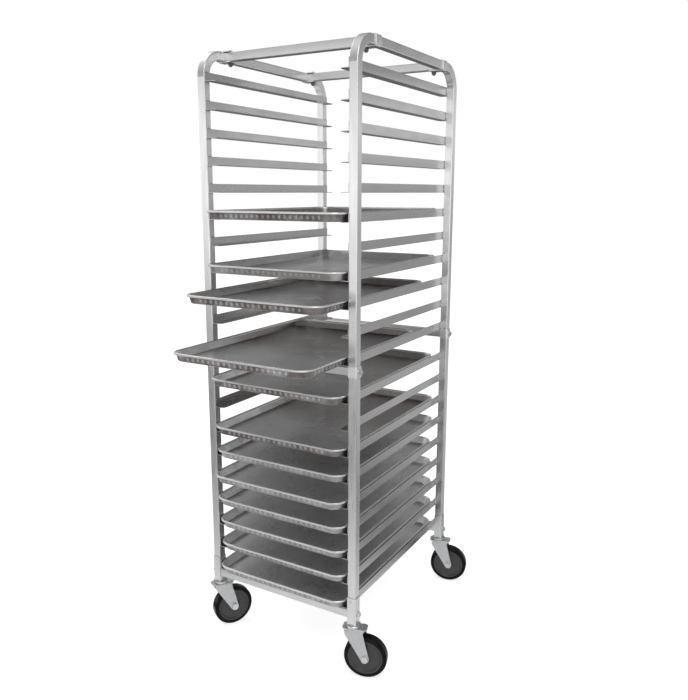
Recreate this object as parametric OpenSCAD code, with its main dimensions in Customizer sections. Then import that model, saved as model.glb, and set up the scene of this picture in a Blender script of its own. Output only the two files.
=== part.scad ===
// Sheet pan rack: a welded and bolted square-tube frame with twenty tiers of
// angle runners, standing on four swivel casters, with twelve sheet pans in it.
// The origin is on the floor, midway between the four caster stems.
// X runs from left to right across the front, Y from front to back, Z up.

/* [Frame] */
// Width over the posts
rack_w = 514.35; // [510:1:560]
// Depth over the posts
rack_d = 660.4; // [640:1:700]
// Height of the top of the side rails above the floor
rail_top_z = 1775; // [1772:1:1850]
// Outside size of the square tube
tube_size = 25.4; // [24:0.2:27]
// Wall thickness of the tube
tube_wall = 1.6; // [1.2:0.1:2]
// Outside corner radius of the tube
tube_corner_r = 3.2; // [2.5:0.1:4]
// Outside radius of the bend at the top of each post
bend_outer_r = 78; // [70:1:84]
// Distance from the rack's end to the middle of a top cross rail
top_rail_inset = 108; // [104:1:130]

/* [Tiers] */
// Height from one tier to the next
tier_pitch = 76.2; // [75:0.1:76.2]
// Extra height left for the middle cross rails
mid_gap = 30; // [30:1:34]
// Height of the underside of the top tier's ledges
top_tier_z = 1684; // [1680:1:1690]
// Height of a runner's upright flange
flange_h = 25.4; // [20:0.2:28]
// Width of a runner's ledge, over the flange
ledge_w = 30; // [28:1:34]
// Thickness of a runner
runner_t = 2; // [1.5:0.1:2.5]
// Radius of the ledge's inner corners
ledge_corner_r = 14; // [8:1:18]

/* [Pans] */
// Length of a pan over its rim
pan_l = 656; // [600:1:660]
// Width of a pan over its rim
pan_w = 454; // [440:1:456]
// Depth of a pan over its rim
pan_depth = 25.4; // [22:0.2:28]
// Radius of a pan's rim at its corners
pan_corner_r = 42; // [36:1:50]
// Thickness of the pan's sheet
pan_sheet = 1.4; // [1:0.1:1.6]
// Slope of the pan's walls from upright, in degrees
pan_slope = 16; // [10:1:20]
// How far the pan in tier 6 stands out of the front of the rack
reach_06 = 40; // [0:1:600]
// How far the pan in tier 8 stands out
reach_08 = 42; // [0:1:600]
// How far the pan in tier 9 stands out
reach_09 = 138; // [0:1:600]
// How far the pan in tier 11 stands out
reach_11 = 200; // [0:1:600]
// How far the pan in tier 12 stands out
reach_12 = 45; // [0:1:600]
// How far the pan in tier 14 stands out
reach_14 = 30; // [0:1:600]
// How far the pan in tier 15 stands out
reach_15 = 25; // [0:1:600]
// How far the pan in tier 16 stands out
reach_16 = 40; // [0:1:600]
// How far the pan in tier 17 stands out
reach_17 = 30; // [0:1:600]
// How far the pan in tier 18 stands out
reach_18 = 22; // [0:1:600]
// How far the pan in tier 19 stands out
reach_19 = 18; // [0:1:600]
// How far the pan in tier 20 stands out
reach_20 = 26; // [0:1:600]

/* [Casters] */
// Direction in which the front left wheel trails, in degrees from the right
turn_front_left = 60; // [0:1:359]
// Direction in which the front right wheel trails
turn_front_right = 17; // [0:1:359]
// Direction in which the back left wheel trails
turn_back_left = 35; // [0:1:359]
// Direction in which the back right wheel trails
turn_back_right = 15; // [0:1:359]
// Diameter of a wheel
wheel_d = 127; // [120:1:127]
// Width of a wheel
wheel_w = 32; // [28:1:34]
// Distance from the swivel axis back to the axle
trail = 38; // [34:1:40]
// Height of the lower end of the corner sleeves
sleeve_z = 160; // [158:1:162]
// Height of a corner sleeve
sleeve_h = 85; // [70:1:90]

/* [Hidden] */
$fn = 48;

// Tiers are numbered from the top. The middle cross rails come below the eleventh.
upper_tiers = 11;
all_tiers = 20;

// Frame
half_w = rack_w / 2;
half_d = rack_d / 2;
half_tube = tube_size / 2;
inner_x = half_w - tube_size;
post_x = half_w - half_tube;
post_y = half_d - half_tube;
post_foot_z = sleeve_z + 1;
bend_axis_r = bend_outer_r - half_tube;
bend_z = rail_top_z - bend_outer_r;
fit_gap = 0.1;

// Cross rails, with the brackets, plugs and bolts that hold them
rail_drop = 1;
top_rail_y = half_d - top_rail_inset;
top_rail_z = rail_top_z - half_tube;
mid_rail_z = tier_z(upper_tiers) - rail_drop - half_tube;
bottom_rail_z = tier_z(all_tiers) - rail_drop - half_tube;
bracket_t = 3;
bracket_w = 31;
bracket_reach = 20;
sleeve_t = 2.2;
plug_l = 30;
plug_size = tube_size - 2 * tube_wall - 2 * fit_gap;
plug_corner_r = 2.4;
splice_offset = 10;
splice_y = top_rail_y - splice_offset;
splice_l = 60;
bolt_r = 4;
bolt_hole_r = 4.3;
bolt_thread_r = 4.04;
bolt_reach = 24;
bolt_head_h = 5.5;
bolt_head_af = 13;
washer_r = 8.5;
washer_t = 1.5;
clamp_head_h = 3;
clamp_dome_r = 14;
clamp_nut_h = 6.5;
clamp_tail = 11;

// Casters
wheel_r = wheel_d / 2;
running_gap = 0.05;
side_gap = 2;
leg_t = 3.5;
fork_gap = wheel_w + 2 * side_gap;
fork_half_w = fork_gap / 2 + leg_t;
crown_t = 4;
crown_top_z = sleeve_z - 8;
crown_front = 30;
crown_back = 42;
crown_skirt = 9;
crown_chamfer = 8;
crown_bend_r = 6;
leg_front = 26;
leg_back = 31;
leg_end_r = 12.5;
axle_r = 6.3;
axle_head_af = 19;
axle_head_h = 6;
axle_nut_h = 8;
bush_r = 8;
hub_r = 17;
dish_r = 43;
core_r = 51;
stem_r = 8;
stem_h = 52;
rivet_r = 13;
rivet_h = 4;
race_r = 22;
race_t = 3;
race_skirt_t = 1.6;
ball_r = 3.2;
ball_ring_r = 14.5;
ball_count = 12;
ball_z = (crown_top_z + sleeve_z - race_t) / 2;

// Pans
pan_lift = 0.2;
bead_r = 3.4;
pan_fold_r = 4;

function tier_z(tier) =
    top_tier_z - (tier - 1) * tier_pitch - (tier > upper_tiers ? mid_gap : 0);

// Points of an arc round a centre
function arc(centre, r, from, to, steps) =
    [for (i = [0:steps])
        let (a = from + (to - from) * i / steps) centre + r * [cos(a), sin(a)]];

// Points of a rectangle with round corners, centred on the origin
function round_rect(w, h, r, steps = 4) =
    concat(
        arc([w / 2 - r, h / 2 - r], r, 0, 90, steps),
        arc([r - w / 2, h / 2 - r], r, 90, 180, steps),
        arc([r - w / 2, r - h / 2], r, 180, 270, steps),
        arc([w / 2 - r, r - h / 2], r, 270, 360, steps)
    );

// Points of a channel open towards -X, that wraps a tube centred on the origin
function channel(reach, half_size, t, corner_r) =
    concat(
        [[-reach, -half_size - t]],
        arc([half_size - corner_r, corner_r - half_size], corner_r + t, 270, 360, 4),
        arc([half_size - corner_r, half_size - corner_r], corner_r + t, 0, 90, 4),
        [[-reach, half_size + t], [-reach, half_size]],
        arc([half_size - corner_r, half_size - corner_r], corner_r, 90, 0, 4),
        arc([half_size - corner_r, corner_r - half_size], corner_r, 360, 270, 4),
        [[-reach, -half_size]]
    );

// Mirrors what is drawn for the front right corner to any corner
module at_corner(side, end) {
    mirror([side < 0 ? 1 : 0, 0, 0]) mirror([0, end > 0 ? 1 : 0, 0]) children();
}

module at_every_corner() {
    for (side = [-1, 1], end = [-1, 1]) at_corner(side, end) children();
}

// ---- Frame ----

module tube_section() {
    difference() {
        polygon(round_rect(tube_size, tube_size, tube_corner_r));
        polygon(round_rect(tube_size - 2 * tube_wall, tube_size - 2 * tube_wall,
                           tube_corner_r - tube_wall));
    }
}

module straight_tube(length) {
    linear_extrude(length) tube_section();
}

// Square bar that fits inside the tube, along Z
module plug(length) {
    linear_extrude(length) polygon(round_rect(plug_size, plug_size, plug_corner_r));
}

// Where the rail bolts cross the front right post, along X
module at_rail_bolts() {
    for (z = [mid_rail_z, bottom_rail_z]) translate([0, -post_y, z]) children();
}

// Where the clamp bolt crosses the front top cross rail's right end, along Z
module at_clamp_bolt() {
    translate([inner_x - bracket_reach / 2, -top_rail_y, top_rail_z]) children();
}

module along_x(from, to, r) {
    translate([from, 0, 0]) rotate([0, 90, 0]) cylinder(r = r, h = to - from);
}

// A post with its bend, and the start of the side rail beyond it
module post(side, end) {
    color("gainsboro") at_corner(side, end) difference() {
        union() {
            translate([post_x, -post_y, post_foot_z])
                straight_tube(bend_z - post_foot_z);
            translate([post_x, bend_axis_r - post_y, bend_z])
                rotate([90, 0, -90]) rotate_extrude(angle = 90)
                    translate([bend_axis_r, 0]) tube_section();
            translate([post_x, bend_axis_r - post_y, top_rail_z])
                rotate([-90, 0, 0]) straight_tube(post_y - bend_axis_r - splice_y);
        }
        at_rail_bolts() along_x(inner_x - 1, half_w + 1, bolt_hole_r);
    }
}

module side_rail(side) {
    color("gainsboro") translate([side * post_x, -splice_y, top_rail_z])
        rotate([-90, 0, 0]) straight_tube(2 * splice_y);
}

module cross_rail(y, z) {
    color("lightgray") translate([-inner_x, y, z])
        rotate([0, 90, 0]) straight_tube(2 * inner_x);
}

module top_rail(end) {
    color("lightgray") difference() {
        cross_rail(end * top_rail_y, top_rail_z);
        for (side = [-1, 1]) at_corner(side, end) at_clamp_bolt()
            cylinder(r = bolt_hole_r, h = 2 * tube_size, center = true);
    }
}

// ---- Runners ----

// An angle with its flange against the right posts and its ledge towards the middle
module runner() {
    length = rack_d - 4;
    translate([inner_x - runner_t, -length / 2, 0]) cube([runner_t, length, flange_h]);
    linear_extrude(runner_t) polygon(concat(
        [[inner_x, -length / 2], [inner_x, length / 2]],
        arc([inner_x - ledge_w + ledge_corner_r, length / 2 - ledge_corner_r],
            ledge_corner_r, 90, 180, 6),
        arc([inner_x - ledge_w + ledge_corner_r, ledge_corner_r - length / 2],
            ledge_corner_r, 180, 270, 6)
    ));
}

module runner_bank(side, first, last) {
    color("silver") for (tier = [first:last])
        at_corner(side, -1) translate([0, 0, tier_z(tier)]) union() runner();
}

// ---- Brackets, plugs and bolts ----

// Saddles over the side rails, with two legs that clamp the top cross rails
module top_brackets() {
    color("silver") at_every_corner() difference() {
        translate([post_x, -top_rail_y + bracket_w / 2, top_rail_z])
            rotate([90, 0, 0]) linear_extrude(bracket_w)
                polygon(channel(half_tube + bracket_reach, half_tube + fit_gap,
                                bracket_t, tube_corner_r));
        at_clamp_bolt() cylinder(r = bolt_hole_r, h = 2 * tube_size, center = true);
    }
}

// Saddles round the posts, at the middle cross rails
module mid_brackets() {
    color("silver") at_every_corner() difference() {
        translate([post_x, -post_y, mid_rail_z - bracket_w / 2])
            linear_extrude(bracket_w)
                polygon(channel(half_tube - 1, half_tube + fit_gap,
                                bracket_t, tube_corner_r));
        at_rail_bolts() along_x(half_w - 1, half_w + 2 * bracket_t, bolt_hole_r);
    }
}

module corner_sleeves() {
    color("lightgray") at_every_corner() difference() {
        translate([post_x, -post_y, sleeve_z]) linear_extrude(sleeve_h)
            polygon(channel(half_tube - 0.5, half_tube + fit_gap, sleeve_t,
                            tube_corner_r));
        at_rail_bolts() along_x(half_w - 1, half_w + 2 * sleeve_t, bolt_hole_r);
    }
}

// Square plugs in the ends of the cross rails: those of the middle and bottom rails
// are tapped for the rail bolts, and those of the top rails bored for the clamp bolts
module rail_plugs() {
    color("dimgray") at_every_corner() {
        at_rail_bolts() difference() {
            translate([inner_x - plug_l, 0, 0]) rotate([0, 90, 0]) plug(plug_l);
            along_x(inner_x - plug_l - 1, inner_x + 1, bolt_thread_r);
        }
        difference() {
            translate([inner_x - plug_l, -top_rail_y, top_rail_z])
                rotate([0, 90, 0]) plug(plug_l);
            at_clamp_bolt() cylinder(r = bolt_hole_r, h = 2 * tube_size, center = true);
        }
    }
}

// Square bars inside the joints between the bends and the side rails
module splice_bars() {
    color("dimgray") at_every_corner()
        translate([post_x, -splice_y - splice_l / 2, top_rail_z])
            rotate([-90, 0, 0]) plug(splice_l);
}

// Hexagon bolt along X, with its washer against a face
module rail_bolt(face_x) {
    along_x(inner_x - bolt_reach, face_x + washer_t, bolt_r);
    along_x(face_x, face_x + washer_t, washer_r);
    translate([face_x + washer_t, 0, 0]) rotate([0, 90, 0])
        cylinder(d = bolt_head_af / cos(30), h = bolt_head_h, $fn = 6);
}

module rail_bolts() {
    color("darkgray") at_every_corner() {
        translate([0, -post_y, mid_rail_z]) rail_bolt(half_w + fit_gap + bracket_t);
        translate([0, -post_y, bottom_rail_z]) rail_bolt(half_w + fit_gap + sleeve_t);
    }
}

// Round-headed bolts down through the brackets and the top cross rails, with their
// washers and nuts underneath
module clamp_bolts() {
    face = half_tube + fit_gap + bracket_t;
    color("darkgray") at_every_corner() at_clamp_bolt() {
        translate([0, 0, face]) rotate_extrude() intersection() {
            translate([0, clamp_head_h - clamp_dome_r]) circle(r = clamp_dome_r, $fn = 96);
            square([washer_r, clamp_head_h]);
        }
        translate([0, 0, -face - clamp_tail]) cylinder(r = bolt_r, h = 2 * face + clamp_tail);
        translate([0, 0, -face - washer_t]) cylinder(r = washer_r, h = washer_t);
        translate([0, 0, -face - washer_t - clamp_nut_h])
            cylinder(d = bolt_head_af / cos(30), h = clamp_nut_h, $fn = 6);
    }
}

// ---- Casters ----
// Each is drawn round its swivel axis, with the wheel trailing towards +X.

module at_caster(side, end, angle) {
    translate([side * post_x, end * post_y, 0]) rotate([0, 0, angle]) children();
}

module ball_groove() {
    translate([0, 0, ball_z]) rotate_extrude()
        translate([ball_ring_r, 0]) circle(r = ball_r + fit_gap);
}

// Square plugs in the feet of the posts, bored for the caster stems
module stem_plugs() {
    color("dimgray") at_every_corner() difference() {
        translate([post_x, -post_y, post_foot_z]) plug(stem_h);
        translate([post_x, -post_y, sleeve_z])
            cylinder(r = stem_r + running_gap, h = stem_h + 2);
        at_rail_bolts() along_x(inner_x, half_w, bolt_hole_r);
    }
}

// Stem, upper race and lower rivet head, in one piece as they are after riveting
module stem(side, end) {
    rivet_top = crown_top_z - crown_t - 0.3;
    race_z = sleeve_z - race_t;
    skirt_z = crown_top_z + 1.2;
    color("lightsteelblue") difference() {
        translate([side * post_x, end * post_y, 0]) difference() {
            rotate_extrude() polygon([
                [0, rivet_top - rivet_h], [rivet_r - 2, rivet_top - rivet_h],
                [rivet_r, rivet_top - rivet_h + 2], [rivet_r, rivet_top],
                [stem_r, rivet_top], [stem_r, race_z],
                [race_r - race_skirt_t, race_z], [race_r - race_skirt_t, skirt_z],
                [race_r, skirt_z], [race_r, sleeve_z - 1], [race_r - 1, sleeve_z],
                [stem_r, sleeve_z], [stem_r, sleeve_z + stem_h - 1.5],
                [stem_r - 1.5, sleeve_z + stem_h], [0, sleeve_z + stem_h]
            ]);
            ball_groove();
        }
        at_every_corner() translate([0, -post_y, bottom_rail_z])
            along_x(inner_x, half_w, bolt_hole_r);
    }
}

module swivel_balls() {
    color("silver") for (side = [-1, 1], end = [-1, 1])
        translate([side * post_x, end * post_y, ball_z])
            for (i = [0:ball_count - 1])
                rotate([0, 0, i * 360 / ball_count])
                    translate([ball_ring_r, 0, 0]) sphere(r = ball_r, $fn = 24);
}

// Angle at which a line from a point touches the round end of a leg
function touch_angle(point, turn) =
    let (v = point - [trail, wheel_r])
    atan2(v[1], v[0]) + turn * acos(leg_end_r / norm(v));

// Side view of the fork
function fork_side() =
    let (
        skirt_z = crown_top_z - crown_skirt,
        front = [-leg_front, skirt_z],
        back = [leg_back, skirt_z]
    )
    concat(
        [[-crown_front, crown_top_z], [-crown_front, skirt_z + 3], front],
        arc([trail, wheel_r], leg_end_r, touch_angle(front, 1),
            touch_angle(back, -1) + 360, 14),
        [back, [crown_back, skirt_z + 3], [crown_back, crown_top_z]]
    );

// End view of the fork: the crown folded down into two legs
function fork_end() =
    let (inner_r = crown_bend_r - leg_t, foot_z = wheel_r - leg_end_r - 1)
    concat(
        [[-fork_half_w, foot_z]],
        arc([crown_bend_r - fork_half_w, crown_top_z - crown_bend_r],
            crown_bend_r, 180, 90, 5),
        arc([fork_half_w - crown_bend_r, crown_top_z - crown_bend_r],
            crown_bend_r, 90, 0, 5),
        [[fork_half_w, foot_z], [fork_gap / 2, foot_z]],
        arc([fork_gap / 2 - inner_r, crown_top_z - crown_t - inner_r], inner_r, 0, 90, 3),
        arc([inner_r - fork_gap / 2, crown_top_z - crown_t - inner_r], inner_r, 90, 180, 3),
        [[-fork_gap / 2, foot_z]]
    );

module fork(side, end, angle) {
    corner = fork_half_w + 1;
    color("lightsteelblue") at_caster(side, end, angle) difference() {
        intersection() {
            translate([0, fork_half_w, 0]) rotate([90, 0, 0])
                linear_extrude(2 * fork_half_w) polygon(fork_side());
            translate([-crown_front, 0, 0]) rotate([90, 0, 90])
                linear_extrude(crown_front + trail + leg_end_r + 1) polygon(fork_end());
        }
        for (s = [-1, 1]) {
            translate([crown_back, s * corner, crown_top_z - 12]) rotate([0, 0, 45])
                cube([crown_chamfer * 2, crown_chamfer * 2, 30], center = true);
            translate([-crown_front, s * corner, crown_top_z - 12]) rotate([0, 0, 45])
                cube([crown_chamfer * 2, crown_chamfer * 2, 30], center = true);
        }
        translate([trail, fork_half_w + 1, wheel_r]) rotate([90, 0, 0])
            cylinder(r = axle_r + running_gap, h = 2 * fork_half_w + 2);
        translate([0, 0, crown_top_z - crown_t - 1])
            cylinder(r = stem_r + running_gap, h = crown_t + 2);
        ball_groove();
    }
}

// Axle bolt, nut and the fixed bush that the wheel turns on
module axle(side, end, angle) {
    half_bush = fork_gap / 2 - fit_gap;
    color("silver") at_caster(side, end, angle) translate([trail, 0, wheel_r])
        rotate([90, 0, 0]) {
            union() {
                translate([0, 0, -fork_half_w - axle_nut_h - 2])
                    cylinder(r = axle_r, h = 2 * fork_half_w + axle_nut_h + 3);
                translate([0, 0, fork_half_w])
                    cylinder(d = axle_head_af / cos(30), h = axle_head_h, $fn = 6);
            }
            difference() {
                translate([0, 0, -fork_half_w - axle_nut_h])
                    cylinder(d = axle_head_af / cos(30), h = axle_nut_h, $fn = 6);
                translate([0, 0, -fork_half_w - axle_nut_h - 1])
                    cylinder(r = axle_r + running_gap, h = axle_nut_h + 2);
            }
            translate([0, 0, -half_bush]) difference() {
                cylinder(r = bush_r, h = 2 * half_bush);
                translate([0, 0, -1])
                    cylinder(r = axle_r + running_gap, h = 2 * half_bush + 2);
            }
        }
}

// Puts a shape that is revolved about Z onto a caster's axle
module at_axle(side, end, angle) {
    at_caster(side, end, angle) translate([trail, 0, wheel_r])
        rotate([90, 0, 0]) children();
}

// Wheel core: a hub and a dished disc that carries the tyre
module core(side, end, angle) {
    hub_half = fork_gap / 2 - 0.5;
    dish_half = wheel_w / 2 - 5;
    rim_half = wheel_w / 2 - 1;
    bore_r = bush_r + running_gap;
    half = [
        [bore_r, hub_half], [hub_r - 2, hub_half], [hub_r, hub_half - 2],
        [hub_r + 3, dish_half + 1], [hub_r + 6, dish_half], [dish_r, dish_half],
        [dish_r + 3, rim_half - 1], [dish_r + 4.5, rim_half], [core_r, rim_half]
    ];
    color("dimgray") at_axle(side, end, angle) rotate_extrude($fn = 96)
        polygon(concat(half, [for (i = [len(half) - 1:-1:0]) [half[i][0], -half[i][1]]]));
}

module tyre(side, end, angle) {
    shoulder_r = 7;
    half = wheel_w / 2;
    color("#202020") at_axle(side, end, angle) rotate_extrude($fn = 96)
        polygon(concat(
            [[core_r, -half + 1], [core_r + 1.5, -half]],
            arc([wheel_r - shoulder_r, shoulder_r - half], shoulder_r, 270, 360, 6),
            arc([wheel_r - shoulder_r, half - shoulder_r], shoulder_r, 0, 90, 6),
            [[core_r + 1.5, half], [core_r, half - 1]]
        ));
}

// ---- Pans ----

// Half cross-section of a pan's edge, measured from the centre of a rim corner:
// the fold at the bottom, the sloping wall and the round bead at the top
function pan_fold_x() =
    let (wall_rise = pan_depth - bead_r + bead_r * sin(pan_slope)
                     - pan_fold_r + (pan_fold_r - pan_sheet) * sin(pan_slope))
    pan_corner_r - bead_r - bead_r * cos(pan_slope) - wall_rise * tan(pan_slope)
    - (pan_fold_r - pan_sheet) * cos(pan_slope);

function pan_edge() =
    let (
        fold = [pan_fold_x(), pan_fold_r],
        bead = [pan_corner_r - bead_r, pan_depth - bead_r],
        meet = acos((bead_r - pan_sheet) / bead_r)
    )
    concat(
        arc(fold, pan_fold_r, -90, -pan_slope, 4),
        arc(bead, bead_r, 180 - pan_slope + meet, 540 - pan_slope, 14),
        arc(fold, pan_fold_r - pan_sheet, -pan_slope, -90, 4)
    );

module pan(tier, reach) {
    centre_x = pan_w / 2 - pan_corner_r;
    centre_y = pan_l / 2 - pan_corner_r;
    color("darkgray")
    translate([0, pan_l / 2 - half_d - reach, tier_z(tier) + runner_t + pan_lift]) {
        union() {
            linear_extrude(pan_sheet)
                polygon(round_rect(2 * (centre_x + pan_fold_x()),
                                   2 * (centre_y + pan_fold_x()), pan_fold_x(), 8));
            for (turn = [0, 180]) rotate([0, 0, turn]) {
                translate([centre_x, centre_y, 0])
                    rotate_extrude(angle = 90) polygon(pan_edge());
                translate([-centre_x, centre_y, 0])
                    rotate([0, 0, 90]) rotate_extrude(angle = 90) polygon(pan_edge());
                translate([centre_x, centre_y, 0])
                    rotate([90, 0, 0]) linear_extrude(2 * centre_y) polygon(pan_edge());
                translate([-centre_x, centre_y, 0])
                    rotate([90, 0, 90]) linear_extrude(2 * centre_x) polygon(pan_edge());
            }
        }
    }
}

post(-1, -1);  // post_front_left
post(1, -1);  // post_front_right
post(-1, 1);  // post_back_left
post(1, 1);  // post_back_right
side_rail(-1);  // side_rail_left
side_rail(1);  // side_rail_right
top_rail(-1);  // top_rail_front
top_rail(1);  // top_rail_back
cross_rail(-post_y, mid_rail_z);  // mid_rail_front
cross_rail(post_y, mid_rail_z);  // mid_rail_back
cross_rail(-post_y, bottom_rail_z);  // bottom_rail_front
cross_rail(post_y, bottom_rail_z);  // bottom_rail_back
runner_bank(-1, 1, upper_tiers);  // runners_left_upper
runner_bank(-1, upper_tiers + 1, all_tiers);  // runners_left_lower
runner_bank(1, 1, upper_tiers);  // runners_right_upper
runner_bank(1, upper_tiers + 1, all_tiers);  // runners_right_lower
top_brackets();
mid_brackets();
corner_sleeves();
rail_bolts();
clamp_bolts();
rail_plugs();
splice_bars();
stem_plugs();
swivel_balls();
stem(-1, -1);  // stem_front_left
fork(-1, -1, turn_front_left);  // fork_front_left
axle(-1, -1, turn_front_left);  // axle_front_left
core(-1, -1, turn_front_left);  // core_front_left
tyre(-1, -1, turn_front_left);  // tyre_front_left
stem(1, -1);  // stem_front_right
fork(1, -1, turn_front_right);  // fork_front_right
axle(1, -1, turn_front_right);  // axle_front_right
core(1, -1, turn_front_right);  // core_front_right
tyre(1, -1, turn_front_right);  // tyre_front_right
stem(-1, 1);  // stem_back_left
fork(-1, 1, turn_back_left);  // fork_back_left
axle(-1, 1, turn_back_left);  // axle_back_left
core(-1, 1, turn_back_left);  // core_back_left
tyre(-1, 1, turn_back_left);  // tyre_back_left
stem(1, 1);  // stem_back_right
fork(1, 1, turn_back_right);  // fork_back_right
axle(1, 1, turn_back_right);  // axle_back_right
core(1, 1, turn_back_right);  // core_back_right
tyre(1, 1, turn_back_right);  // tyre_back_right
pan(6, reach_06);  // pan_06
pan(8, reach_08);  // pan_08
pan(9, reach_09);  // pan_09
pan(11, reach_11);  // pan_11
pan(12, reach_12);  // pan_12
pan(14, reach_14);  // pan_14
pan(15, reach_15);  // pan_15
pan(16, reach_16);  // pan_16
pan(17, reach_17);  // pan_17
pan(18, reach_18);  // pan_18
pan(19, reach_19);  // pan_19
pan(20, reach_20);  // pan_20
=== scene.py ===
import math

import bmesh
import bpy
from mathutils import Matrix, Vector
from mathutils.bvhtree import BVHTree


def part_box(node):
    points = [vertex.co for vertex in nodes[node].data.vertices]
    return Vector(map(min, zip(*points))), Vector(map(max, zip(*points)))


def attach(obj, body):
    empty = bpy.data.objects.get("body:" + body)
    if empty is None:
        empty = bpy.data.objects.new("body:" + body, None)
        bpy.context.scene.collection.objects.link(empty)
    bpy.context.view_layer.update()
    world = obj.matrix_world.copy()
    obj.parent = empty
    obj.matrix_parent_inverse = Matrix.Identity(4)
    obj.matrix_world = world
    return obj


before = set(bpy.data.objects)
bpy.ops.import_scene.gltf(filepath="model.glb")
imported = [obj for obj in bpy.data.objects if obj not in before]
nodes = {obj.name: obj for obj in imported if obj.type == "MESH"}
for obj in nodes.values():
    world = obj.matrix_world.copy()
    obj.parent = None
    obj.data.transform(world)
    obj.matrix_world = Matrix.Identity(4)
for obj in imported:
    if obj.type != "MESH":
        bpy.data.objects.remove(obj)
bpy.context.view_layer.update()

# Dimensions of the rack in metres, and its counts of tiers, as the CAD model has them
TUBE = 0.0254
FLANGE = 0.0254
TIER_PITCH = 0.0762
MID_GAP = 0.030
UPPER_TIERS = 11
ALL_TIERS = 20
PAN_WIDTH = 0.454
PAN_LENGTH = 0.656

# Spacing of the flutes in the pans' walls, which the CAD model leaves out
FLUTE_PITCH = 0.018

# The worn pans, and how far baked-on fat and painted dark reflection darken each kind of pan, from 0 to 1;
# past the fourth value a painted dark reflection also covers a pan's back half
WORN_DARK_PANS = ("pan_06", "pan_09", "pan_11", "pan_12", "pan_14")
HEAVY_WEAR_AND_SHADE = 0.95
CLEAN_WEAR_AND_SHADE = 0.60
BACK_REFLECTION_FROM = 0.60
PAN_METALLIC = 0.86

# Colours on the metal and the rubber: baked-on fat that also stands for painted dark reflection on the pans'
# walls, a brown-tinted painted dark reflection, pale brown residue, and dust
FAT_AND_REFLECTION_DARK = (0.125, 0.105, 0.10, 1)
DARK_BROWN = (0.26, 0.23, 0.22, 1)
PALE_BROWN = (0.42, 0.385, 0.35, 1)
DUST = (0.16, 0.155, 0.145, 1)

RIGHT = Vector((1, 0, 0))
UP = Vector((0, 0, 1))

# The lamps' side, and the point that they look at
LAMP_SIDE = 2.6
LAMP_TARGET = Vector((0, 0, 0.7))


# ---- Camera ----

def make_camera():
    """Stands to the front right of the rack, a little below its top, and looks slightly down."""
    data = bpy.data.cameras.new("camera")
    data.lens = 37.77
    data.sensor_width = 36.0
    data.shift_x = 0.0094
    data.shift_y = -0.013
    data.clip_start = 0.1
    data.clip_end = 100.0
    camera = bpy.data.objects.new("camera", data)
    downward, leftward = 11.44, 30.37
    camera.location = (1.1753, -1.9965, 1.3807)
    camera.rotation_euler = (math.radians(90 - downward), 0, math.radians(leftward))
    bpy.context.scene.collection.objects.link(camera)
    bpy.context.scene.camera = camera


# ---- Shader helpers ----

def add(tree, kind, **settings):
    """A new shader node with these settings."""
    made = tree.nodes.new("ShaderNode" + kind)
    for name, value in settings.items():
        setattr(made, name, value)
    return made


def feed(tree, socket, value):
    """Links a socket to a socket, or sets it to a plain value."""
    if isinstance(value, bpy.types.NodeSocket):
        tree.links.new(value, socket)
    else:
        socket.default_value = value


def calc(tree, operation, *values):
    """The result of a Math node on sockets or plain values."""
    made = add(tree, "Math", operation=operation)
    for socket, value in zip(made.inputs, values):
        feed(tree, socket, value)
    return made.outputs[0]


def times(tree, product, *others):
    """The product of sockets and plain values."""
    for value in others:
        product = calc(tree, "MULTIPLY", product, value)
    return product


def rest_of(tree, value):
    """1 minus a value."""
    return calc(tree, "SUBTRACT", 1.0, value)


def remap(tree, value, low, high, to_low=0.0, to_high=1.0, smooth=False):
    """Takes a value's range to another one, and holds it there."""
    made = add(tree, "MapRange", interpolation_type="SMOOTHSTEP" if smooth else "LINEAR")
    feed(tree, made.inputs["Value"], value)
    feed(tree, made.inputs["From Min"], low)
    feed(tree, made.inputs["From Max"], high)
    feed(tree, made.inputs["To Min"], to_low)
    feed(tree, made.inputs["To Max"], to_high)
    return made.outputs[0]


def spread(tree, field, low=0.0, high=1.0):
    """Takes noise, which lies mostly between 0.3 and 0.7, to another range."""
    return remap(tree, field, 0.3, 0.7, low, high)


def blend_colours(tree, share, first, second):
    """A mix of two colours: a share of 0 gives the first, 1 the second."""
    made = add(tree, "Mix", data_type="RGBA")
    feed(tree, made.inputs[0], share)
    feed(tree, made.inputs[6], first)
    feed(tree, made.inputs[7], second)
    return made.outputs[2]


def noise(tree, where, scale, detail=3.0, roughness=0.5, distortion=0.0):
    """Noise from 0 to 1 at these coordinates, with this many waves a metre."""
    made = add(tree, "TexNoise")
    feed(tree, made.inputs["Vector"], where)
    feed(tree, made.inputs["Scale"], scale)
    feed(tree, made.inputs["Detail"], detail)
    feed(tree, made.inputs["Roughness"], roughness)
    feed(tree, made.inputs["Distortion"], distortion)
    return made.outputs["Fac"]


def stretched(tree, where, stretch, turn=0.0):
    """Coordinates scaled along the axes, after a turn about Z."""
    made = add(tree, "Mapping")
    feed(tree, made.inputs["Vector"], where)
    feed(tree, made.inputs["Rotation"], (0, 0, turn))
    feed(tree, made.inputs["Scale"], stretch)
    return made.outputs[0]


def lengthwise(tree, where, along, few, many):
    """Coordinates for streaks along one axis: few waves a metre along it, and many across it."""
    return stretched(tree, where, tuple(few if axis == along else many for axis in "xyz"))


def split_axes(tree, vector):
    """The X, Y and Z of a vector."""
    made = add(tree, "SeparateXYZ")
    feed(tree, made.inputs[0], vector)
    return made.outputs


def facing_up(tree):
    """The upward share of the surface's direction, from -1 underneath to 1 on top."""
    return split_axes(tree, add(tree, "TexCoord").outputs["Normal"])["Z"]


def bump(tree, height, depth, normal=None):
    """A normal from a height of 0 to 1 that stands for this many metres."""
    made = add(tree, "Bump")
    feed(tree, made.inputs["Height"], height)
    feed(tree, made.inputs["Distance"], depth)
    feed(tree, made.inputs["Strength"], 1.0)
    if normal is not None:
        feed(tree, made.inputs["Normal"], normal)
    return made.outputs[0]


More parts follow.
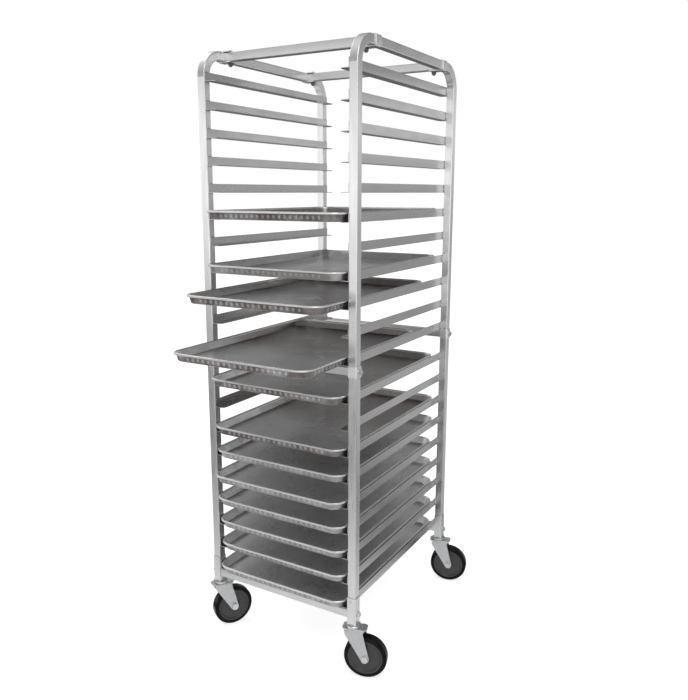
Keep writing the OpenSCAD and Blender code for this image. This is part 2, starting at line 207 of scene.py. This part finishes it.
def new_material(name):
    """A material with its node tree, shader and object coordinates."""
    material = bpy.data.materials.new(name)
    material.use_nodes = True
    tree = material.node_tree
    where = add(tree, "TexCoord").outputs["Object"]
    return material, tree, tree.nodes["Principled BSDF"], where


def grey(level):
    """A neutral colour."""
    return (level, level, level, 1)


# ---- Materials ----

def scratches(tree, where, turn, stretch, density):
    """Thin marks, 1 on a mark and 0 beside it. Where density is higher there are more."""
    field = noise(tree, stretched(tree, where, stretch, turn), 1.0, detail=1.0, roughness=0.4)
    return remap(tree, field, 0.70 - density, 0.74 - density, smooth=True)


def drawn_metal(name, along, level, roughness):
    """Satin aluminium with die lines along one axis, faint bands and soft clouds, and painted shade that
    darkens it underneath.
    """
    material, tree, shader, where = new_material(name)
    line = noise(tree, lengthwise(tree, where, along, 14, 700), 1.0, detail=2.0)
    band = noise(tree, lengthwise(tree, where, along, 1.5, 130), 1.0, detail=2.0)
    cloud = noise(tree, where, 8.0, detail=4.0, roughness=0.6)
    smear = noise(tree, lengthwise(tree, where, along, 12, 60), 1.0, detail=0.5)
    tone = calc(tree, "ADD", times(tree, cloud, 0.5), times(tree, band, 0.5))
    colour = blend_colours(tree, spread(tree, tone), grey(level * 0.96), grey(level * 1.03))
    # Painted shade: surfaces that face down are darkened towards a tenth of the metal's level
    under = remap(tree, facing_up(tree), -0.85, -0.97, 0.0, 0.65, smooth=True)
    colour = blend_colours(tree, under, colour, grey(level * 0.10))
    feed(tree, shader.inputs["Base Color"], colour)
    feed(tree, shader.inputs["Metallic"], 1.0)
    swing = 0.025
    rough = spread(tree, smear, roughness - swing, roughness + swing)
    feed(tree, shader.inputs["Roughness"], calc(tree, "ADD", rough, spread(tree, line, -0.02, 0.02)))
    fine = bump(tree, line, 0.0000015)
    feed(tree, shader.inputs["Normal"], bump(tree, band, 0.000012, fine))
    return material


def plated_steel(name, level, roughness):
    """Zinc-plated steel: a pale, slightly blue metal with soft crystalline patches."""
    material, tree, shader, where = new_material(name)
    patch = noise(tree, where, 130.0, detail=2.0, roughness=0.5, distortion=0.8)
    cloud = noise(tree, where, 22.0, detail=4.0, roughness=0.6)
    fine = noise(tree, where, 900.0, detail=2.0)
    share = remap(tree, calc(tree, "ADD", patch, cloud), 0.7, 1.3)
    pale = (level, level * 1.01, level * 1.025, 1)
    dull = (level * 0.84, level * 0.86, level * 0.88, 1)
    feed(tree, shader.inputs["Base Color"], blend_colours(tree, share, dull, pale))
    feed(tree, shader.inputs["Metallic"], 1.0)
    feed(tree, shader.inputs["Roughness"], spread(tree, patch, roughness - 0.06, roughness + 0.08))
    feed(tree, shader.inputs["Normal"], bump(tree, fine, 0.00003, bump(tree, cloud, 0.0002)))
    return material


def tray_places(tree):
    """Where a point of a pan is: how far in from its outline, how high up, and how far along it."""
    tray = split_axes(tree, add(tree, "TexCoord").outputs["Generated"])
    across = times(tree, calc(tree, "SUBTRACT", tray["X"], 0.5), PAN_WIDTH)
    along = times(tree, calc(tree, "SUBTRACT", tray["Y"], 0.5), PAN_LENGTH)
    from_side = calc(tree, "SUBTRACT", PAN_WIDTH / 2, calc(tree, "ABSOLUTE", across))
    from_end = calc(tree, "SUBTRACT", PAN_LENGTH / 2, calc(tree, "ABSOLUTE", along))
    return calc(tree, "MINIMUM", from_side, from_end), tray["Z"], along


def pan_stain(tree, where):
    """Soft patches that a pan's walls, floor and flutes share."""
    return noise(tree, where, 20.0, detail=3.0, roughness=0.55, distortion=0.8)


def fat_and_dark_reflection(tree, stain, wear_and_shade):
    """How far baked-on fat and painted dark reflection hide the metal of a pan's outer wall."""
    return remap(tree, stain, 0.30, 0.60, 0.65 * wear_and_shade, wear_and_shade)


def pan_metal(name, wear_and_shade):
    """Cloudy, scratched aluminium sheet. Wear from 0 to 1 darkens its outer wall with baked-on fat and
    painted dark reflection, and lays a brown-tinted painted dark reflection over its back half.
    """
    material, tree, shader, where = new_material(name)
    inside, height, along = tray_places(tree)
    outer = remap(tree, facing_up(tree), 0.05, -0.12, smooth=True)
    rim = remap(tree, height, 0.74, 0.84, smooth=True)
    below_rim = rest_of(tree, rim)
    grain = noise(tree, stretched(tree, where, (700, 12, 700)), 1.0, detail=2.0)
    cloud = noise(tree, where, 7.0, detail=2.0, roughness=0.5, distortion=0.4)
    stain = pan_stain(tree, where)
    mark = scratches(tree, where, 0.25, (420, 14, 40), 0.03)
    cross_mark = scratches(tree, where, 1.2, (360, 18, 40), 0.01)
    marked = calc(tree, "MAXIMUM", mark, cross_mark)
    near_wall = remap(tree, inside, 0.040, 0.010, smooth=True)
    baked = times(tree, near_wall, remap(tree, stain, 0.40, 0.75), below_rim)
    off_foot = remap(tree, height, 0.02, 0.12, 0.5, 1.0)
    # Baked-on fat and painted dark reflection darken the outer wall below the rim, less near the foot
    fat_and_reflection_share = times(tree, outer, below_rim, fat_and_dark_reflection(tree, stain, wear_and_shade), off_foot)
    # Painted dark reflection, tinted brown, over the back half of the pans worn past BACK_REFLECTION_FROM
    to_back = calc(tree, "ADD", along, times(tree, cloud, 0.15))
    back_reflection_strength = 0.9 * max(0.0, wear_and_shade - BACK_REFLECTION_FROM) / (1 - BACK_REFLECTION_FROM)
    back_reflection_share = times(tree, remap(tree, to_back, -0.08, 0.14, smooth=True), back_reflection_strength, below_rim)
    share = remap(tree, calc(tree, "ADD", cloud, stain), 0.7, 1.3)
    metal = blend_colours(tree, share, grey(0.78), grey(0.88))
    metal = blend_colours(tree, times(tree, baked, 0.45), metal, PALE_BROWN)
    # Lays the brown-tinted painted dark reflection over the back half
    metal = blend_colours(tree, back_reflection_share, metal, DARK_BROWN)
    metal = blend_colours(tree, times(tree, marked, 0.3), metal, grey(0.9))
    # The outer wall's baked-on fat and painted dark reflection
    feed(tree, shader.inputs["Base Color"], blend_colours(tree, fat_and_reflection_share, metal, FAT_AND_REFLECTION_DARK))
    feed(tree, shader.inputs["Metallic"], PAN_METALLIC)
    rough = spread(tree, stain, 0.27, 0.35)
    rough = calc(tree, "ADD", rough, spread(tree, grain, -0.03, 0.03))
    rough = calc(tree, "ADD", rough, times(tree, fat_and_reflection_share, 0.12))
    feed(tree, shader.inputs["Roughness"], rough)
    normal = bump(tree, grain, 0.00001)
    normal = bump(tree, cloud, 0.0012, normal)
    normal = bump(tree, rest_of(tree, marked), 0.00002, normal)
    feed(tree, shader.inputs["Normal"], normal)
    return material


def flute_metal(name, wear_and_shade):
    """The same sheet on the crests of the flutes, where hands and shelves have rubbed it brighter."""
    material, tree, shader, where = new_material(name)
    stain = pan_stain(tree, where)
    # Baked-on fat and painted dark reflection, as on the pan's outer wall
    metal = blend_colours(tree, fat_and_dark_reflection(tree, stain, wear_and_shade), grey(0.83), FAT_AND_REFLECTION_DARK)
    rubbed = remap(tree, stain, 0.35, 0.65, 0.45, 0.30)
    metal = blend_colours(tree, rubbed, metal, grey(0.80))
    feed(tree, shader.inputs["Base Color"], metal)
    feed(tree, shader.inputs["Metallic"], PAN_METALLIC)
    feed(tree, shader.inputs["Roughness"], spread(tree, stain, 0.30, 0.40))
    return material


def moulded(name, level, roughness, gloss, dust):
    """Black or charcoal moulded rubber or plastic with a fine grain, a little dusty."""
    material, tree, shader, where = new_material(name)
    grain = noise(tree, where, 1400.0, detail=2.0)
    cloud = noise(tree, where, 28.0, detail=4.0, roughness=0.6, distortion=0.4)
    film = times(tree, remap(tree, cloud, 0.45, 0.75), dust)
    colour = blend_colours(tree, film, (level, level, level * 1.05, 1), DUST)
    feed(tree, shader.inputs["Base Color"], colour)
    feed(tree, shader.inputs["Roughness"], spread(tree, cloud, roughness - 0.06, roughness + 0.1))
    feed(tree, shader.inputs["Specular IOR Level"], gloss)
    feed(tree, shader.inputs["Normal"], bump(tree, grain, 0.00004))
    return material


def weld_metal():
    """Aluminium weld bead, bright on its ripples and dull between them."""
    material, tree, shader, where = new_material("weld_aluminium")
    soot = noise(tree, where, 300.0, detail=3.0, roughness=0.6)
    share = remap(tree, soot, 0.35, 0.65)
    feed(tree, shader.inputs["Base Color"], blend_colours(tree, share, grey(0.5), grey(0.82)))
    feed(tree, shader.inputs["Metallic"], 1.0)
    feed(tree, shader.inputs["Roughness"], spread(tree, soot, 0.3, 0.5))
    feed(tree, shader.inputs["Normal"], bump(tree, soot, 0.0001))
    return material


# ---- Helpers for the added pieces ----

def finish_piece(built, name, material, body):
    """Makes a piece of the built mesh, which moves with its body."""
    mesh = bpy.data.meshes.new(name)
    built.to_mesh(mesh)
    built.free()
    mesh.shade_smooth()
    piece = bpy.data.objects.new(name, mesh)
    piece.data.materials.append(material)
    bpy.context.scene.collection.objects.link(piece)
    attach(piece, body)


def ring(mesh, sides, centre, across, up, radius):
    """A circle of points round a centre, in the plane of two directions."""
    turn = [2 * math.pi * k / sides for k in range(sides)]
    return [mesh.verts.new(centre + (across * math.cos(a) + up * math.sin(a)) * radius) for a in turn]


def join_rings(mesh, rings):
    """Walls between each ring and the next, and a face over each end."""
    for near, far in zip(rings, rings[1:]):
        for k in range(len(near)):
            after = (k + 1) % len(near)
            mesh.faces.new((near[k], near[after], far[after], far[k]))
    mesh.faces.new(reversed(rings[0]))
    mesh.faces.new(rings[-1])


# ---- Weld beads ----

def add_bead(mesh, start, end, radius, seed):
    """A low, rippled bead of weld from start to end."""
    rings, sides, ripples = 17, 8, 5
    ripple_share, wander_share, tip_share = 0.10, 0.12, 0.12
    axis = (end - start).normalized()
    side = axis.orthogonal().normalized()
    up = axis.cross(side)
    loops = []
    for i in range(rings):
        t = i / (rings - 1)
        swell = math.sqrt(max(0.0, 1 - (2 * t - 1) ** 6))
        ripple = 1 + ripple_share * math.sin(2 * math.pi * ripples * t + seed)
        wander = wander_share * radius * math.sin(5 * t + 2 * seed)
        size = radius * max(tip_share, swell) * ripple
        centre = start.lerp(end, t) + up * wander
        loops.append(ring(mesh, sides, centre, side, up, size))
    join_rings(mesh, loops)


def tier_height(tier, top_tier_z):
    """Height of a tier's ledges. Tiers are numbered from the top."""
    gap = MID_GAP if tier > UPPER_TIERS else 0.0
    return top_tier_z - (tier - 1) * TIER_PITCH - gap


def make_welds(material):
    """The beads that join each runner to its two posts: one over the flange, one in the corner behind it."""
    runner_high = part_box("runners_right_upper")[1]
    post_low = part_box("post_front_right")[0]
    flange_x = runner_high.x
    corner_y = abs(post_low.y) - TUBE
    top_tier_z = runner_high.z - FLANGE
    over_radius, over_sunk, inner_gap, outer_gap = 0.0017, 0.0008, 0.0045, 0.005
    corner_radius, off_flange, off_post, foot_gap, head_gap = 0.0019, 0.0009, 0.0004, 0.004, 0.003
    built = bmesh.new()
    count = 0
    for tier in range(1, ALL_TIERS + 1):
        z = tier_height(tier, top_tier_z)
        for side in (-1, 1):
            for end in (-1, 1):
                count += 1
                over_x = side * (flange_x - over_sunk)
                near = Vector((over_x, end * (corner_y + inner_gap), z + FLANGE))
                far = Vector((over_x, end * (corner_y + TUBE - outer_gap), z + FLANGE))
                add_bead(built, far, near, over_radius, count)
                corner = Vector((side * (flange_x + off_flange), end * (corner_y - off_post), z))
                bottom = corner + UP * foot_gap
                top = corner + UP * (FLANGE - head_gap)
                add_bead(built, bottom, top, corner_radius, count + 0.5)
    finish_piece(built, "weld_beads", material, "frame")


# ---- Rivets on the corner sleeves ----

def make_sleeve_rivets(material):
    """A domed rivet near the top of each corner sleeve, on the face that looks to the front or the back."""
    dome = ((0.0040, 0.0), (0.0040, 0.0004), (0.0034, 0.0011), (0.0020, 0.0016))
    sides, sunk, below_top = 20, 0.0002, 0.010
    low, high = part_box("corner_sleeves")
    post_low, post_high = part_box("post_front_right")
    post_x = (post_low.x + post_high.x) / 2
    built = bmesh.new()
    for side in (-1, 1):
        for end, face in ((-1, low.y), (1, high.y)):
            middle = Vector((side * post_x, face - end * sunk, high.z - below_top))
            rings = []
            for radius, rise in dome:
                seat = middle + Vector((0, end * rise, 0))
                rings.append(ring(built, sides, seat, RIGHT, UP, radius))
            join_rings(built, rings)
    bmesh.ops.recalc_face_normals(built, faces=built.faces)
    finish_piece(built, "sleeve_rivets", material, "frame")


# ---- Flutes in the pans' walls ----

def add_flute(mesh, wall, middle, outward, reach):
    """One upright rib laid on a pan's outer wall, found by looking inward from beside the pan."""
    columns, rows = 7, 5
    width, depth, sunk = 0.0100, 0.0010, 0.00015
    sideways = Vector((-outward.y, outward.x, 0))
    grid = []
    for i in range(rows):
        climb = i / (rows - 1)
        line = []
        for k in range(columns):
            across = 2 * k / (columns - 1) - 1
            eye = middle + sideways * (across * width / 2) + UP * (reach * (climb - 0.5))
            place, normal = wall.ray_cast(eye, -outward)[:2]
            normal = normal if normal.dot(outward) > 0 else -normal
            crest = (0.5 + 0.5 * math.cos(math.pi * across)) * math.sqrt(math.sin(math.pi * climb))
            line.append(mesh.verts.new(place + normal * (depth * crest - sunk)))
        grid.append(line)
    for low, high in zip(grid, grid[1:]):
        for k in range(columns - 1):
            mesh.faces.new((low[k], low[k + 1], high[k + 1], high[k]))
    right_edge = [line[-1] for line in grid[1:-1]]
    left_edge = [line[0] for line in grid[-2:0:-1]]
    mesh.faces.new(reversed(grid[0] + right_edge + grid[-1][::-1] + left_edge))


def make_flutes(number, material):
    """The ribs pressed out of all four walls of one pan, short of its corners."""
    corner, clear, foot, head = 0.050, 0.02, 0.0045, 0.0075
    low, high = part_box("pan_" + number)
    centre = (low + high) / 2
    half = (high - low) / 2
    pan = nodes["pan_" + number].data
    wall = BVHTree.FromPolygons([v.co for v in pan.vertices], [face.vertices for face in pan.polygons])
    reach = high.z - head - low.z - foot
    built = bmesh.new()
    for outward in (Vector((1, 0, 0)), Vector((-1, 0, 0)), Vector((0, 1, 0)), Vector((0, -1, 0))):
        stand_off = abs(outward.dot(half)) + clear
        course = Vector((-outward.y, outward.x, 0))
        each_way = int((abs(course.dot(half)) - corner) / FLUTE_PITCH)
        for step in range(-each_way, each_way + 1):
            middle = centre + outward * stand_off + course * (step * FLUTE_PITCH)
            middle.z = low.z + foot + reach / 2
            add_flute(built, wall, middle, outward, reach)
    bmesh.ops.recalc_face_normals(built, faces=built.faces)
    finish_piece(built, "flutes_" + number, material, "tray_" + number)


# ---- Finishes on the CAD nodes ----

def soften(piece, width):
    """Rounds a piece's sharp edges a little and shades it smoothly."""
    weld = piece.modifiers.new("weld", "WELD")
    weld.merge_threshold = 0.00001
    edge = piece.modifiers.new("edge", "BEVEL")
    edge.width = width
    edge.segments = 2
    edge.limit_method = "ANGLE"
    edge.angle_limit = math.radians(50)
    edge.use_clamp_overlap = True
    edge.miter_outer = "MITER_ARC"
    smooth = piece.modifiers.new("smooth", "WEIGHTED_NORMAL")
    smooth.keep_sharp = False


def dress_nodes():
    """Gives each CAD node its material, the worn, darker pans theirs, and rounds the edges that are sharp.
    """
    post = drawn_metal("post_aluminium", "z", level=0.86, roughness=0.29)
    side = drawn_metal("side_rail_aluminium", "y", level=0.86, roughness=0.29)
    cross = drawn_metal("cross_rail_aluminium", "x", level=0.78, roughness=0.30)
    runner = drawn_metal("runner_aluminium", "y", level=0.62, roughness=0.24)
    bracket = drawn_metal("bracket_aluminium", "x", level=0.95, roughness=0.42)
    sleeve = drawn_metal("sleeve_aluminium", "z", level=0.86, roughness=0.28)
    fork = plated_steel("fork_zinc", level=0.80, roughness=0.40)
    bolt = plated_steel("bolt_zinc", level=0.74, roughness=0.24)
    dark_bolt = plated_steel("clamp_bolt_steel", level=0.16, roughness=0.35)
    hidden = drawn_metal("plug_aluminium", "x", level=0.6, roughness=0.4)
    balls = plated_steel("ball_steel", level=0.75, roughness=0.15)
    core = moulded("core_charcoal", level=0.045, roughness=0.34, gloss=0.40, dust=0.08)
    tyre = moulded("tyre_rubber", level=0.002, roughness=0.24, gloss=0.16, dust=0.02)
    # The two pan materials differ in how much baked-on fat and painted dark reflection they carry
    clean_pan = pan_metal("pan_clean", CLEAN_WEAR_AND_SHADE)
    worn_dark_pan = pan_metal("pan_worn_dark", HEAVY_WEAR_AND_SHADE)
    # By the start of a node's name: its material, and how wide its edges are rounded
    finishes = {
        "post_": (post, 0), "side_rail": (side, 0), "top_rail": (cross, 0.0003),
        "mid_rail": (cross, 0.0003), "bottom_rail": (cross, 0.0003), "runners": (runner, 0.0004),
        "top_brackets": (bracket, 0.0006), "mid_brackets": (bracket, 0.0006),
        "corner_sleeves": (sleeve, 0.0005), "rail_bolts": (bolt, 0.0004),
        "clamp_bolts": (dark_bolt, 0.0004), "swivel_balls": (balls, 0),
        "rail_plugs": (hidden, 0), "splice_bars": (hidden, 0), "stem_plugs": (hidden, 0),
        "stem_": (bolt, 0), "fork_": (fork, 0.0006),
        "axle_": (bolt, 0.0005), "core_": (core, 0), "tyre_": (tyre, 0), "pan_": (clean_pan, 0),
    }
    for name, piece in nodes.items():
        material, width = next(finishes[start] for start in finishes if name.startswith(start))
        if name in WORN_DARK_PANS:
            material = worn_dark_pan
        for slot in piece.material_slots:
            slot.material = material
        if width:
            soften(piece, width)


# ---- Studio ----

def level_ramp(tree, height, brightest, levels):
    """Grey levels by a ray's elevation in degrees, as shares of the brightest one."""
    ramp = add(tree, "ValToRGB")
    feed(tree, ramp.inputs[0], remap(tree, height, -1.0, 1.0))
    elements = ramp.color_ramp.elements
    while len(elements) < len(levels):
        elements.new(0.5)
    for element, (elevation, level) in zip(elements, levels):
        element.position = (math.sin(math.radians(elevation)) + 1) / 2
        element.color = grey(level / brightest)
    return ramp.outputs["Color"]


def towards(tree, ray, direction, low, high):
    """1 where a ray runs close to a direction, 0 where the cosine between them is under the low limit."""
    product = add(tree, "VectorMath", operation="DOT_PRODUCT")
    feed(tree, product.inputs[0], ray)
    feed(tree, product.inputs[1], direction)
    return remap(tree, product.outputs["Value"], low, high, smooth=True)


def between(tree, height, upper, lower):
    """1 between two soft limits of a ray's height. A limit says where it is 0 and where it reaches 1."""
    under = remap(tree, height, *upper, smooth=True)
    over = remap(tree, height, *lower, smooth=True)
    return times(tree, under, over)


def make_world():
    """A studio as the metal sees it, with a bright wall round the horizon. The camera sees plain white.

    The wall is dimmer to the back, and to the back right it has grey levels of its own and a low glow.
    Dark cards stand at the front left and, low down, at the back left.
    """
    world = bpy.data.worlds.new("studio")
    bpy.context.scene.world = world
    world.use_nodes = True
    tree = world.node_tree
    background = tree.nodes["Background"]
    ray = add(tree, "TexCoord").outputs["Generated"]
    backward, height = split_axes(tree, ray)[1:]
    brightest = 1.4
    front = level_ramp(tree, height, brightest, (
        (-90, 0.50), (-64, 0.90), (-54, 0.60), (-46, 0.20), (-40, 0.55), (-36, 1.15), (-30, 1.10),
        (-24, 0.20), (-15, 0.12), (-11, 0.60), (-8, 1.15), (6, 1.40), (10, 0.50), (13, 0.22),
        (35, 0.50), (60, 0.75), (90, 0.75)))
    right = level_ramp(tree, height, brightest, (
        (-90, 0.50), (-64, 0.90), (-54, 0.60), (-46, 0.20), (-40, 0.55), (-36, 0.95), (-30, 0.70),
        (-26, 0.16), (-21.5, 0.12), (-18.5, 0.34), (-10, 0.40), (0, 0.40), (2, 0.55), (6, 1.10), (9, 0.22),
        (14, 0.16), (35, 0.35), (60, 0.60), (90, 0.75)))
    card_heights = calc(tree, "ADD", between(tree, height, (-0.04, -0.15), (-0.48, -0.42)),
                        remap(tree, height, -0.58, -0.66, smooth=True))
    front_card = times(tree, towards(tree, ray, (-0.80, -0.60, 0), 0.89, 0.98), card_heights)
    back_card = times(tree, towards(tree, ray, (-0.5, 0.87, 0), 0.45, 0.9),
                      between(tree, height, (0.02, -0.08), (-0.30, -0.20)))
    dimming = times(tree, remap(tree, backward, -0.3, 0.6, 0.0, 0.34, smooth=True),
                    remap(tree, height, -0.50, -0.42, smooth=True))
    share = times(tree, rest_of(tree, times(tree, back_card, 0.65)), rest_of(tree, dimming),
                  rest_of(tree, times(tree, front_card, 0.75)))
    seen = blend_colours(tree, share, grey(0), front)
    glow = times(tree, towards(tree, ray, (0.1, 0.995, 0), 0.85, 0.89),
                 between(tree, height, (-0.18, -0.24), (-0.50, -0.44)))
    right = blend_colours(tree, times(tree, glow, 0.65), right, grey(0.72 / brightest))
    seen = blend_colours(tree, towards(tree, ray, (0.5, 0.87, 0), 0.55, 0.8), seen, right)
    path = add(tree, "LightPath")
    paper = grey(1.0 / brightest)
    shown = blend_colours(tree, path.outputs["Is Camera Ray"], seen, paper)
    feed(tree, background.inputs["Color"], shown)
    feed(tree, background.inputs["Strength"], brightest)


def lamp(name, place, watts):
    """A wide square lamp that looks at the middle of the rack."""
    data = bpy.data.lights.new(name, "AREA")
    data.shape = "SQUARE"
    data.size = LAMP_SIDE
    data.energy = watts
    light = bpy.data.objects.new(name, data)
    light.location = place
    aim = LAMP_TARGET - light.location
    light.rotation_euler = aim.to_track_quat("-Z", "Y").to_euler()
    bpy.context.scene.collection.objects.link(light)


def make_floor():
    """A wide, pale, softly lit floor that the metal doesn't mirror."""
    reach = 30.0
    mesh = bpy.data.meshes.new("floor")
    corners = [(-reach, -reach, 0), (reach, -reach, 0), (reach, reach, 0), (-reach, reach, 0)]
    mesh.from_pydata(corners, [], [(0, 1, 2, 3)])
    material = bpy.data.materials.new("floor_pale")
    material.use_nodes = True
    shader = material.node_tree.nodes["Principled BSDF"]
    shader.inputs["Base Color"].default_value = grey(0.9)
    shader.inputs["Roughness"].default_value = 0.9
    shader.inputs["Emission Color"].default_value = grey(1.0)
    shader.inputs["Emission Strength"].default_value = 0.65
    floor = bpy.data.objects.new("floor", mesh)
    floor.data.materials.append(material)
    floor.visible_glossy = False
    bpy.context.scene.collection.objects.link(floor)


make_camera()
bpy.context.scene.view_settings.view_transform = "Standard"
make_world()
make_floor()
lamp("key", (2.6, -2.8, 4.2), watts=42)
lamp("fill", (-3.2, 0.8, 4.0), watts=30)
dress_nodes()
make_welds(weld_metal())
make_sleeve_rivets(plated_steel("rivet_steel", level=0.82, roughness=0.22))
# Flutes for the two kinds of pan, with their baked-on fat and painted dark reflection
clean_flutes = flute_metal("flutes_clean", CLEAN_WEAR_AND_SHADE)
worn_dark_flutes = flute_metal("flutes_worn_dark", HEAVY_WEAR_AND_SHADE)
for name in nodes:
    if name.startswith("pan_"):
        make_flutes(name.removeprefix("pan_"), worn_dark_flutes if name in WORN_DARK_PANS else clean_flutes)
